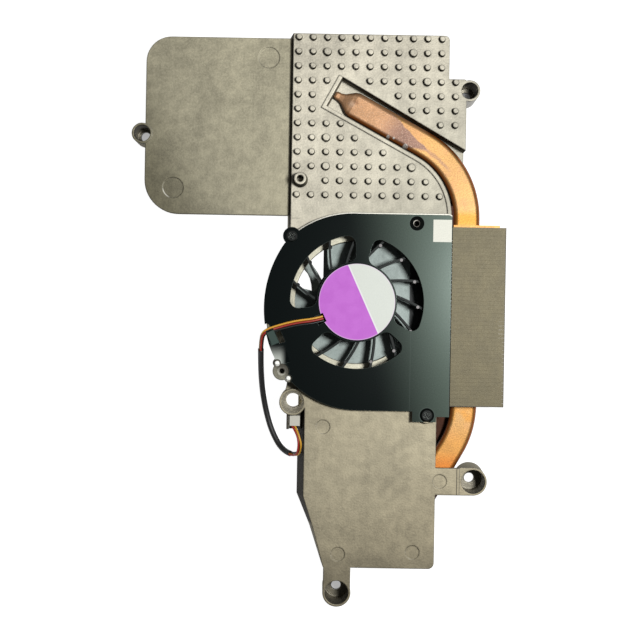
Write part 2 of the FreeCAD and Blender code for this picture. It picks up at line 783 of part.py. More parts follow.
def fan_cover():
    bottom = fan_axis[1] - volute[-1][1]
    foot = [(cover_tab_left, bottom), (cover_tab_left, cover_tab_bottom),
            (cover_tab_right, cover_tab_bottom), (cover_tab_right, cover_heel_y), (cover_right, cover_heel_y)]
    sheet = rise(bay_wire(0, cover_under, foot), cover_thick)
    sheet = sheet.fuse(disc(lobe_place, lobe_r, cover_under, cover_top)).removeSplitter()
    low = cover_under - over
    high = cover_top + over
    cuts = [kidney(inlet_inner_r, inlet_outer_r, span, low, high, inlet_round) for span in inlet_spans]
    dimpled = (tab_hole_place, bare_hole_place)
    cuts += [disc(place, cover_hole_r, low, high) for place in dimpled + (lobe_place,)]
    cuts += [disc(place, dimple_r, cover_top - dimple_depth, high) for place in dimpled]
    cuts += [disc(place, lug_pin_r + lug_pin_room, low, high) for place in lug_pins]
    cuts.append(disc(lug_place, lug_notch_r, low, high))
    cuts.append(disc(fan_axis, tube_r + seat_gap, low, high))
    cuts.append(wire_window(low, high))
    cuts.append(disc(wire_notch_place, wire_notch_r, low, high))
    cuts.append(turned_block(hook_slot_size, hook_slot, hook_turn, low, high))
    cuts.append(pressed_rim())
    return sheet.cut(cuts).fuse(wire_hook()).removeSplitter()


def cover_screws():
    solids = []
    for place, seat in ((lobe_place, cover_top), (tab_hole_place, cover_top - dimple_depth)):
        head = disc(place, screw_head_r, seat, seat + screw_head_high)
        crown = [edge for edge in head.Edges if edge.BoundBox.ZMin > seat + screw_head_high - 0.001]
        head = head.makeFillet(screw_round, crown)
        shank = disc(place, tap_r - seat_gap, seat - screw_length, seat)
        screw = head.fuse(shank)
        for size in ((cross_long, cross_wide), (cross_wide, cross_long)):
            top = seat + screw_head_high
            screw = screw.cut(turned_block(size, place, 30, top - cross_deep, top + over))
        solids.append(screw.removeSplitter())
    return Part.makeCompound(solids)


def fan_label():
    label = disc(fan_axis, label_r, cover_top, cover_top + label_thick)
    return label.cut(wire_window(cover_top - over, cover_top + over))


def date_label():
    return turned_block(date_size, date_place, 0, cover_top, cover_top + label_thick)


def bearing_tube():
    tube = disc(fan_axis, tube_r, tube_bottom, cover_top)
    flange = disc(fan_axis, tube_flange_r, cover_under - tube_flange_thick, cover_under)
    return tube.fuse(flange).cut(disc(fan_axis, bearing_r + seat_gap, tube_bottom - over, cover_top + over))


def sleeve_bearing():
    return ring(fan_axis, bearing_r, shaft_r + running_gap, bearing_bottom, bearing_top)


def motor_board():
    return ring(fan_axis, board_r, board_inner_r, board_bottom, cover_under)


def pole_angles():
    return [360 / poles * step for step in range(poles)]


def around_axis(body, degrees):
    body.rotate(Vector(*fan_axis, 0), Vector(0, 0, 1), degrees)
    return body


def pole_bar(start, end, wide, low, high):
    x = (fan_axis[0] + start, fan_axis[0] + end)
    return block(x, (fan_axis[1] - wide / 2, fan_axis[1] + wide / 2), (low, high))


def stator_core():
    top = core_bottom + core_thick
    solids = [ring(fan_axis, core_ring_r, tube_r + seat_gap, core_bottom, top)]
    for degrees in pole_angles():
        arm = pole_bar(core_ring_r - wall / 2, pole_shoe_inner_r + wall / 2, pole_arm_wide, core_bottom, top)
        span = (-pole_shoe_half, pole_shoe_half)
        shoe = sector(pole_shoe_inner_r, pole_shoe_r, span, core_bottom, top)
        solids += [around_axis(arm, degrees), around_axis(shoe, degrees)]
    return solids[0].multiFuse(solids[1:]).removeSplitter()


def stator_coils():
    coils = []
    top = core_bottom + core_thick
    for degrees in pole_angles():
        outer = pole_bar(coil_from, coil_to, coil_wide, core_bottom - coil_over, top + coil_over)
        hole = pole_bar(coil_from - over, coil_to + over, pole_arm_wide + 2 * seat_gap,
                        core_bottom - seat_gap, top + seat_gap)
        along = [edge for edge in outer.Edges if abs(edge.BoundBox.XLength - (coil_to - coil_from)) < 0.001]
        coil = outer.makeFillet(coil_over / 2, along).cut(hole)
        coils.append(around_axis(coil, degrees))
    return Part.makeCompound(coils)


def blade(tip_angle):
    # Thin curved blade, swept back from root to tip
    half = blade_thick / 2
    stops = ((blade_root_r, blade_sweep), (blade_mid_r, blade_mid_sweep), (blade_tip_r, blade_tip_sweep))
    sides = []
    for side in (half, -half):
        sides.append([polar(radius, tip_angle + sweep + math.degrees(side / radius), blade_bottom)
                      for radius, sweep in stops])
    left, right = sides
    edges = [arc(*left), line(left[-1], right[-1]), arc(*reversed(right)), line(right[0], left[0])]
    bead_top = blade_top + blade_bead_rise
    bead = disc(polar(blade_bead_place, tip_angle), blade_bead_r, blade_bottom, bead_top)
    return rise(Part.Wire(edges), blade_top - blade_bottom).fuse(bead)


def fan_impeller():
    cup = disc(fan_axis, hub_r, hub_under, hub_top)
    cup = cup.cut(disc(fan_axis, hub_r - hub_wall, hub_inside, hub_top + over))
    boss = disc(fan_axis, hub_boss_r, hub_under, hub_boss_top)
    blades = [blade(blade_first + 360 / blade_count * step) for step in range(blade_count)]
    blades = [body.cut(disc(fan_axis, hub_r - hub_wall / 2, 0, cover_top)) for body in blades]
    body = cup.multiFuse([boss] + blades)
    body = body.cut(disc(fan_axis, shaft_r + seat_gap, hub_under + hub_floor / 2, cover_top))
    return body.removeSplitter()


def rotor_yoke():
    cup = disc(fan_axis, yoke_r, hub_inside, yoke_top)
    cup = cup.cut(disc(fan_axis, yoke_r - yoke_sheet, hub_inside + yoke_sheet, yoke_top + over))
    return cup.cut(disc(fan_axis, hub_boss_r + seat_gap, 0, cover_top))


def rotor_magnet():
    return ring(fan_axis, magnet_r, magnet_inner_r, hub_inside + yoke_sheet, magnet_top)


def rotor_shaft():
    shaft = disc(fan_axis, shaft_r, hub_under + hub_floor / 2, shaft_top)
    low = bearing_top + clip_gap
    return shaft.cut(ring(fan_axis, shaft_r + over, clip_groove_r, low, low + clip_groove_wide))


def shaft_clip():
    low = bearing_top + clip_gap + seat_gap
    return ring(fan_axis, clip_r, clip_groove_r + seat_gap, low, low + clip_thick)


def tube_path(points, end_share):
    # Straight runs joined by tangent arcs, each arc as large as its two whole runs allow
    runs = [(after - before).Length for before, after in zip(points, points[1:])]
    runs[0] /= end_share
    runs[-1] /= end_share
    edges = []
    radii = []
    here = points[0]
    for index, corner in enumerate(points[1:-1]):
        back = (points[index] - corner).normalize()
        ahead = (points[index + 2] - corner).normalize()
        half_turn = (math.pi - back.getAngle(ahead)) / 2
        reach = 0.45 * min(runs[index], runs[index + 1])
        radius = reach / math.tan(half_turn)
        inward = (back + ahead).normalize()
        middle = corner + inward * (radius / math.cos(half_turn) - radius)
        edges.append(line(here, corner + back * reach))
        edges.append(arc(corner + back * reach, middle, corner + ahead * reach))
        radii.append(radius)
        here = corner + ahead * reach
    edges.append(line(here, points[-1]))
    return Part.Wire(edges), radii


def tube(points, radius, name, end_share=1.0):
    path, radii = tube_path(points, end_share)
    heading = points[1] - points[0]
    section = Part.Wire(Part.makeCircle(radius, points[0], heading))
    body = path.makePipeShell([section], True, False)
    expected = math.pi * radius ** 2 * path.Length
    print(name, "length", round(path.Length, 2), "radii", [round(r, 1) for r in radii],
          "volume ratio", round(body.Volume / expected, 4))
    return body


def lead_points():
    return [Vector(*point) for point in lead_route]


def beside_lead(flat_side, degrees):
    # One wire's points: side by side on the cover, then in a bundle of three that rolls towards the plug
    points = lead_points()
    moved = []
    for index, point in enumerate(points):
        before = points[max(index - 1, 0)]
        after = points[min(index + 1, len(points) - 1)]
        into = (point - before) if index > 0 else (after - point)
        out = (after - point) if index < len(points) - 1 else into
        along = (into.normalize() + out.normalize()).normalize()
        right = along.cross(Vector(0, 0, 1)).normalize()
        upward = right.cross(along)
        mitre = 1 / math.cos(into.getAngle(out) / 2)
        roll = math.radians(degrees + roll_step * max(0, index - sleeve_end_steps))
        bundled = (right * math.cos(roll) + upward * math.sin(roll)) * bundle_ring_r
        offset = right * flat_side * wire_spacing if index < flat_steps else bundled
        moved.append(point + offset * mitre)
    return moved


def lead_wire(name, place, slot_x):
    points = beside_lead(*place) + [Vector(slot_x, plug_y[0], plug_slot_z)]
    return tube(points, wire_r, name)


def lead_sleeve():
    points = lead_points()
    starts = points[sleeve_start_steps:sleeve_end_steps + 2]
    first = starts[0] * (1 - sleeve_end_share) + starts[1] * sleeve_end_share
    last = starts[-2] * (1 - sleeve_end_share) + starts[-1] * sleeve_end_share
    course = [first] + starts[1:-1] + [last]
    outer = tube(course, sleeve_r, "lead_sleeve", sleeve_end_share)
    return outer.cut(tube(course, sleeve_r - sleeve_wall, "sleeve bore", sleeve_end_share))


def plug_slot_block(x, gap, y):
    half_wide = plug_slot[0] / 2 - gap
    half_high = plug_slot[1] / 2 - gap
    return block((x - half_wide, x + half_wide), y, (plug_slot_z - half_high, plug_slot_z + half_high))


def lead_connector():
    body = block(plug_x, plug_y, plug_z)
    reach = (plug_y[0] - over, plug_y[1] + over)
    return body.cut([plug_slot_block(x, 0, reach) for x in plug_slots_x])


def connector_contacts():
    reach = (plug_y[0] + wire_d, plug_y[1] - plug_slot_gap)
    return Part.makeCompound([plug_slot_block(x, plug_slot_gap, reach) for x in plug_slots_x])


def main():
    parts = {
        "base_casting": base_casting(),
        "heat_pipe": heat_pipe(),
        "fin_base_plate": fin_base_plate(),
        "fin_stack": fin_stack(),
        "cpu_contact_plate": cpu_contact_plate(),
        "fan_cover": fan_cover(),
        "cover_screws": cover_screws(),
        "fan_label": fan_label(),
        "date_label": date_label(),
        "bearing_tube": bearing_tube(),
        "sleeve_bearing": sleeve_bearing(),
        "motor_board": motor_board(),
        "stator_core": stator_core(),
        "stator_coils": stator_coils(),
        "fan_impeller": fan_impeller(),
        "rotor_yoke": rotor_yoke(),
        "rotor_magnet": rotor_magnet(),
        "rotor_shaft": rotor_shaft(),
        "shaft_clip": shaft_clip(),
        "lead_yellow": lead_wire("lead_yellow", yellow_place, plug_slots_x[1]),
        "lead_red": lead_wire("lead_red", red_place, plug_slots_x[0]),
        "lead_black": lead_wire("lead_black", black_place, plug_slots_x[2]),
        "lead_sleeve": lead_sleeve(),
        "lead_connector": lead_connector(),
        "connector_contacts": connector_contacts(),
    }
    os.makedirs("parts", exist_ok=True)
    for name, shape in parts.items():
        shape.exportStep("parts/" + name + ".step")
        box = shape.BoundBox
        print(name, "solids", len(shape.Solids), "valid", shape.isValid(), "volume", round(shape.Volume, 1),
              "x", round(box.XMin, 2), round(box.XMax, 2), "y", round(box.YMin, 2), round(box.YMax, 2),
              "z", round(box.ZMin, 2), round(box.ZMax, 2))


main()
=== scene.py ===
import math

import bmesh
import bpy
from mathutils import Matrix, Vector


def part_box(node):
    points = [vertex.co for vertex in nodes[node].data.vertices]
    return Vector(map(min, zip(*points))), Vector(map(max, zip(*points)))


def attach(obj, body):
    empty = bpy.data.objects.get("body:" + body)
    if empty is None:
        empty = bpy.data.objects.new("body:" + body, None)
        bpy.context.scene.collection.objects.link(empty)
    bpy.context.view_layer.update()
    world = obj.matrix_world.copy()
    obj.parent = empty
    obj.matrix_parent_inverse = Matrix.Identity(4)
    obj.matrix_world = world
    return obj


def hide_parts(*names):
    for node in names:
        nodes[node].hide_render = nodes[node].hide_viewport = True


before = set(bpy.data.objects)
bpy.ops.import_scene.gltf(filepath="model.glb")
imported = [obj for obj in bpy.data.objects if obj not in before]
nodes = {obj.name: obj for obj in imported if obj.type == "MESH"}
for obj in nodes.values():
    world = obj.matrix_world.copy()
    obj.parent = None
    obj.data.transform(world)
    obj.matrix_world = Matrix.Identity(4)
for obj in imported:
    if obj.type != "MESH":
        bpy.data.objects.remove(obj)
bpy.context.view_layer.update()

milli = 0.001            # lengths below are in millimetres unless they say otherwise
scene = bpy.context.scene
scene.view_settings.view_transform = "Standard"


def toMetres(point):
    return Vector(point) * milli


# camera straight above, turned one degree like the photograph
cameraSet = {"over": (1.4, 0.0), "height": 367.0, "angle": 29.7, "turn": 1.0}

cameraData = bpy.data.cameras.new("camera")
cameraData.angle = math.radians(cameraSet["angle"])
cameraData.clip_start = 0.01
cameraObject = bpy.data.objects.new("camera", cameraData)
cameraObject.location = toMetres((*cameraSet["over"], cameraSet["height"]))
cameraObject.rotation_euler = (0, 0, math.radians(cameraSet["turn"]))
scene.collection.objects.link(cameraObject)
scene.camera = cameraObject
print("camera set")


# fan lead: three wires that lie side by side on the cover, then run in one bundle
lead = {
    "diameter": 0.6,
    "spacing": 0.75,
    "flatSpacing": 0.66,
    "route": (
        (2.35, 0.45, 14.9), (-0.5, -0.35, 15.42), (-5.4, -0.95, 15.4), (-10.4, -2.3, 15.42),
        (-15.1, -3.75, 15.7), (-15.75, -7.0, 13.4), (-15.95, -11.2, 9.8), (-15.9, -16.8, 6.2),
        (-15.4, -22.6, 3.3), (-14.3, -28.4, 1.7), (-12.5, -34.2, 1.4), (-9.3, -39.5, 3.0),
        (-4.6, -40.7, 7.6), (-3.8, -37.0, 10.4), (-4.45, -33.6, 10.2),
    ),
    "flatPoints": 4,
    "rollRun": (5, 11),                          # twist of the bundle in the sleeve, then after it
    "rollSteps": (-10.0, 60.0),
    "plugY": -31.4,
    "plugZ": 9.2,
    "wires": {                                   # place on the cover, place in the bundle, slot in the plug
        "lead_yellow": (1, -30.0, -5.55, 0.0768),
        "lead_red": (0, 90.0, -6.45, 0.0755),
        "lead_black": (-1, 210.0, -4.65, 0.0727),
    },
    "sleeveRuns": (5, 11),
    "sleeveRadius": 0.863,
    "sleeveWall": 0.07,
    "sleeveSides": 20,
}


def wirePoints(flatSide, degrees):
    points = [Vector(point) for point in lead["route"]]
    ring = lead["spacing"] / math.sqrt(3)
    rollFrom, rollTo = lead["rollRun"]
    rollIn, rollOut = lead["rollSteps"]
    moved = []
    for index, point in enumerate(points):
        before = points[max(index - 1, 0)]
        after = points[min(index + 1, len(points) - 1)]
        into = (point - before) if index > 0 else (after - point)
        out = (after - point) if index < len(points) - 1 else into
        along = (into.normalized() + out.normalized()).normalized()
        right = along.cross(Vector((0, 0, 1))).normalized()
        upward = right.cross(along)
        mitre = 1 / math.cos(into.angle(out) / 2)
        turned = rollIn * min(max(index - rollFrom, 0), rollTo - rollFrom) + rollOut * max(index - rollTo, 0)
        roll = math.radians(degrees + turned)
        bundled = (right * math.cos(roll) + upward * math.sin(roll)) * ring
        offset = right * flatSide * lead["flatSpacing"] if index < lead["flatPoints"] else bundled
        moved.append(point + offset * mitre)
    return moved


def smoothLine(name, points, radius):
    curve = bpy.data.curves.new(name, "CURVE")
    curve.dimensions = "3D"
    curve.resolution_u = 10
    spline = curve.splines.new("NURBS")
    spline.points.add(len(points) - 1)
    for spot, point in zip(spline.points, points):
        spot.co = (*toMetres(point), 1)
        spot.radius = radius * milli             # so the curve's own box has the wire's true size
    spline.order_u = 3                           # after the points, or the line stays straight runs
    spline.use_endpoint_u = True
    curve.bevel_depth = 1.0 if radius > 0 else 0.0
    curve.bevel_resolution = 4
    curve.use_fill_caps = radius > 0
    line = bpy.data.objects.new(name, curve)
    scene.collection.objects.link(line)
    return line


def addMesh(name, shape):
    mesh = bpy.data.meshes.new(name)
    shape.to_mesh(mesh)
    shape.free()
    piece = bpy.data.objects.new(name, mesh)
    scene.collection.objects.link(piece)
    return piece


def smoothFaces(piece):
    for face in piece.data.polygons:
        face.use_smooth = True


def sleeveTube():
    guide = smoothLine("leadGuide", [Vector(point) for point in lead["route"]], 0)
    bpy.context.view_layer.update()
    depsgraph = bpy.context.evaluated_depsgraph_get()
    guideMesh = bpy.data.meshes.new_from_object(guide.evaluated_get(depsgraph))
    course = [vertex.co.copy() for vertex in guideMesh.vertices]
    bpy.data.objects.remove(guide)
    bpy.data.meshes.remove(guideMesh)
    ends = []
    for run in lead["sleeveRuns"]:
        middle = (Vector(lead["route"][run]) + Vector(lead["route"][run + 1])) * 0.5
        ends.append(min(range(len(course)), key=lambda index: (course[index] - toMetres(middle)).length))
    course = course[ends[0]:ends[1] + 1]
    shape = bmesh.new()
    loops = []
    for index, point in enumerate(course):
        heading = course[min(index + 1, len(course) - 1)] - course[max(index - 1, 0)]
        place = Matrix.Translation(point) @ heading.to_track_quat("Z", "Y").to_matrix().to_4x4()
        made = bmesh.ops.create_circle(shape, segments=lead["sleeveSides"], matrix=place,
                                       radius=lead["sleeveRadius"] * milli)
        loops.append(list({edge for vertex in made["verts"] for edge in vertex.link_edges}))
    for start, end in zip(loops, loops[1:]):
        bmesh.ops.bridge_loops(shape, edges=start + end)
    bmesh.ops.recalc_face_normals(shape, faces=shape.faces)
    tube = addMesh("leadSleeve", shape)
    smoothFaces(tube)
    skin = tube.modifiers.new("wall", "SOLIDIFY")
    skin.thickness = lead["sleeveWall"] * milli
    skin.offset = -1
    return tube


wirePieces = {}
for nodeName, (flatSide, degrees, slotX, length) in lead["wires"].items():
    route = wirePoints(flatSide, degrees) + [Vector((slotX, lead["plugY"], lead["plugZ"]))]
    wire = smoothLine(nodeName.replace("lead_", "wire."), route, lead["diameter"] / 2)
    wirePieces[nodeName] = (wire, route[0], length)
sleeve = sleeveTube()
for nodeName, (wire, start, length) in wirePieces.items():
    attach(wire, "housing")
    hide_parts(nodeName)
    carried = [nodes["lead_connector"]]
    if nodeName == "lead_red":
        carried += [sleeve, nodes["connector_contacts"]]
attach(sleeve, "housing")
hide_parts("lead_sleeve")
print("fan lead laid")


def tone(red, green, blue):
    # an 8-bit screen colour as the linear colour that shaders use
    channels = [value / 255 for value in (red, green, blue)]
    return tuple(c / 12.92 if c <= 0.04045 else ((c + 0.055) / 1.055) ** 2.4 for c in channels) + (1.0,)


class Sock:
    # a shader value that can stand in a Python expression
    def __init__(self, finish, socket):
        self.finish = finish
        self.socket = socket

    def sum(self, how, first, second):
        return self.finish.node("ShaderNodeMath", {"operation": how}, {0: first, 1: second})

    def __add__(self, other):
        return self.sum("ADD", self, other)

    def __radd__(self, other):
        return self.sum("ADD", other, self)

    def __sub__(self, other):
        return self.sum("SUBTRACT", self, other)

    def __rsub__(self, other):
        return self.sum("SUBTRACT", other, self)

    def __mul__(self, other):
        return self.sum("MULTIPLY", self, other)

    def __rmul__(self, other):
        return self.sum("MULTIPLY", other, self)

    def __pow__(self, other):
        return self.sum("POWER", self, other)


class Finish:
    # one material: positions in millimetres, and one method that adds any node
    def __init__(self, name, metallic, roughness):
        self.material = bpy.data.materials.new(name)
        self.material.use_nodes = True
        self.tree = self.material.node_tree
        self.shader = self.tree.nodes["Principled BSDF"]
        self.shader.inputs["Metallic"].default_value = metallic
        self.shader.inputs["Roughness"].default_value = roughness
        place = self.node("ShaderNodeTexCoord", {}, {}, "Object")
        self.place = self.node("ShaderNodeVectorMath", {"operation": "SCALE"}, {0: place, "Scale": 1 / milli})
        self.x = self.node("ShaderNodeSeparateXYZ", {}, {0: self.place}, "X")
        self.y = self.node("ShaderNodeSeparateXYZ", {}, {0: self.place}, "Y")
        self.z = self.node("ShaderNodeSeparateXYZ", {}, {0: self.place}, "Z")
        self.normal = self.node("ShaderNodeNewGeometry", {}, {}, "Normal")
        self.up = self.node("ShaderNodeSeparateXYZ", {}, {0: self.normal}, "Z")

    def node(self, kind, settings, inputs, output=0):
        made = self.tree.nodes.new(kind)
        for name, value in settings.items():
            setattr(made, name, value)
        for name, value in inputs.items():
            if isinstance(value, Sock):
                self.tree.links.new(value.socket, made.inputs[name])
            else:
                made.inputs[name].default_value = value
        return Sock(self, made.outputs[output])

    def ramp(self, value, low, high):
        # 0 below low, 1 above high, eased between
        return self.node("ShaderNodeMapRange", {"interpolation_type": "SMOOTHSTEP"},
                         {"Value": value, "From Min": low, "From Max": high})

    def inside(self, value, low, high, soft):
        return self.ramp(value, low - soft, low + soft) * (1 - self.ramp(value, high - soft, high + soft))

    def noise(self, scale, detail=2.0, stretch=None):
        spot = self.place
        if stretch:
            spot = self.node("ShaderNodeMapping", {}, {"Vector": spot, "Scale": stretch})
        return self.node("ShaderNodeTexNoise", {}, {"Vector": spot, "Scale": scale, "Detail": detail}, "Fac")

    def cells(self, scale):
        # distance to the nearest of many scattered spots
        return self.node("ShaderNodeTexVoronoi", {}, {"Vector": self.place, "Scale": scale}, "Distance")

    def most(self, first, second):
        return self.node("ShaderNodeMath", {"operation": "MAXIMUM"}, {0: first, 1: second})

    def mix(self, share, first, second):
        return self.node("ShaderNodeMix", {"data_type": "RGBA"}, {0: share, 6: first, 7: second}, 2)

    def shade(self, colour, factor):
        # a colour made lighter or darker by one value
        grey = self.node("ShaderNodeCombineColor", {}, {0: factor, 1: factor, 2: factor})
        return self.node("ShaderNodeMix", {"data_type": "RGBA", "blend_type": "MULTIPLY"},
                         {0: 1.0, 6: colour, 7: grey}, 2)

    def rounded(self, radius):
        # the normal as if edges were rounded off
        return self.node("ShaderNodeBevel", {"samples": 6}, {"Radius": radius * milli})

    def facing(self, normal, way):
        return self.node("ShaderNodeVectorMath", {"operation": "DOT_PRODUCT"}, {0: normal, 1: way}, "Value")

    def edge(self, radius):
        # 1 on edges and corners, 0 on open faces
        return self.ramp(1 - self.facing(self.rounded(radius), self.normal), 0.01, 0.16)

    def lean(self, radius, way):
        # how far faces and rounded edges turn to one side
        return self.facing(self.rounded(radius), way)

    def crevice(self, distance):
        # 1 deep in corners and recesses, 0 on open faces
        clear = self.node("ShaderNodeAmbientOcclusion", {"samples": 8, "only_local": True},
                          {"Distance": distance * milli}, "AO")
        return 1 - self.ramp(clear, 0.4, 0.92)

    def away(self, spot):
        # distance in plan from one spot
        awayX = self.x - spot[0]
        awayY = self.y - spot[1]
        return (awayX * awayX + awayY * awayY) ** 0.5

    def disc(self, spot, radius, soft):
        return 1 - self.ramp(self.away(spot), radius - soft, radius + soft)

    def bump(self, height, depth, radius=0.0):
        settings = {"Height": height, "Strength": 1.0, "Distance": depth * milli}
        if radius:
            settings["Normal"] = self.rounded(radius)
        self.set("Normal", self.node("ShaderNodeBump", {}, settings))

    def set(self, name, value):
        if isinstance(value, Sock):
            self.tree.links.new(value.socket, self.shader.inputs[name])
        else:
            self.shader.inputs[name].default_value = value


# die-cast aluminium: bright pin plate, duller wing and lower plate, bluish fan bay; painted light falloff
# over the plates, painted shade on walls, corners and hollows, painted highlights on edges that face the lamp
casting = {
    "pinPlate": tone(158, 154, 139),
    "pinPlateBright": tone(208, 202, 184),
    "wing": tone(173, 167, 143),
    # the wing's and the lower plate's far tones are painted light falloff
    "wingFar": tone(130, 125, 102),
    "lower": tone(154, 146, 123),
    "lowerFar": tone(151, 142, 118),
    "bay": tone(133, 143, 139),
    # of the tones below, the throat's is painted shade, the three wall tones are painted shade and painted
    # light, the dark grime tone stands for painted shade and grime, and the edge tone is mostly painted
    # highlight
    "throatShade": tone(52, 54, 54),
    "ledge": tone(186, 183, 164),
    "wall": tone(30, 26, 20),
    "wallLight": tone(126, 121, 105),
    "outerWall": tone(118, 113, 98),
    "shadeAndGrime": tone(40, 36, 28),
    "edge": tone(232, 229, 216),
    "cup": tone(112, 108, 96),
    "funnelTone": tone(214, 208, 188),
    "lug": tone(124, 121, 106),
    "ring": tone(166, 164, 152),
    # painted shade behind the pipe
    "shadeBehindPipe": tone(42, 10, 6),
    "peg": tone(240, 240, 234),
    "wingFade": (8, 32),                         # runs over which one tone turns into the next
    "pinFade": (-5, 70),
    "lowerFade": (45, 84),
    "footFade": (66, 72),
    "wingSide": (-8.0, -7.6),
    "pinFoot": (24, 26),
    "lowerTop": (19, 22),
    "fan": (12.1, 5.45),                         # places, and how far round them
    "bayReach": (30, 31),
    "bayTop": (8.9, 9.1),
    "ledgeReach": (18.0, 18.3),
    "ledgeFoot": (6.4, 6.8),
    "throatShadeFrom": (28.1, 28.3),
    "lugPlace": (-9.5, -15.1),
    "lugRadius": 4.2,
    "lugRing": (0.9, 1.3),
    "pegs": ((-10.9, -12.9), (-7.7, -17.2)),
    "pegRadius": 0.75,
    "cups": (((-52.3, 54.5), 2.5, 9.5), ((44.3, 68.2), 3.4, 12.0), ((7.6, -80.1), 3.5, 12.0),
             ((47.3, -46.9), 3.5, 12.0)),
    "funnel": ((-6.3, -24.3), 3.3),
    "emptyHole": (29.2, 28.67),
    "holeRadii": (1.9, 1.15),
    "roundMark": ((-42.9, 38.5), 3.0),
    "slotPatch": ((-9.8, -6.4), 1.5),
    "slotTop": (13.5, 13.7),
    "pipeWedge": ((36.15, 44.0), (-42.0, -27.0)),
    "pipeCorner": ((38.9, 39.1), (25, 36), (8.45, 8.6)),
    "plugShelf": ((-9.6, -3.0), (-33.0, -27.6)),
    "shelfTop": (11.5, 11.9),
    "pinWall": ((27, 29), (8.6, 9.2)),
    "loopWall": ((-5.0, 1.5), (-60.0, -27.0)),
    "bayRim": ((14.1, 14.6), (24, 25)),
    "shyWay": (-0.8, -0.6, 0.0),                 # away from the key lamp
    "armLine": (42.42, -47.0),
    "armLineHalf": (0.12, 4.4),
    "plateLine": (29.85, -5.0),
    "plateLineHalf": 0.1,
}


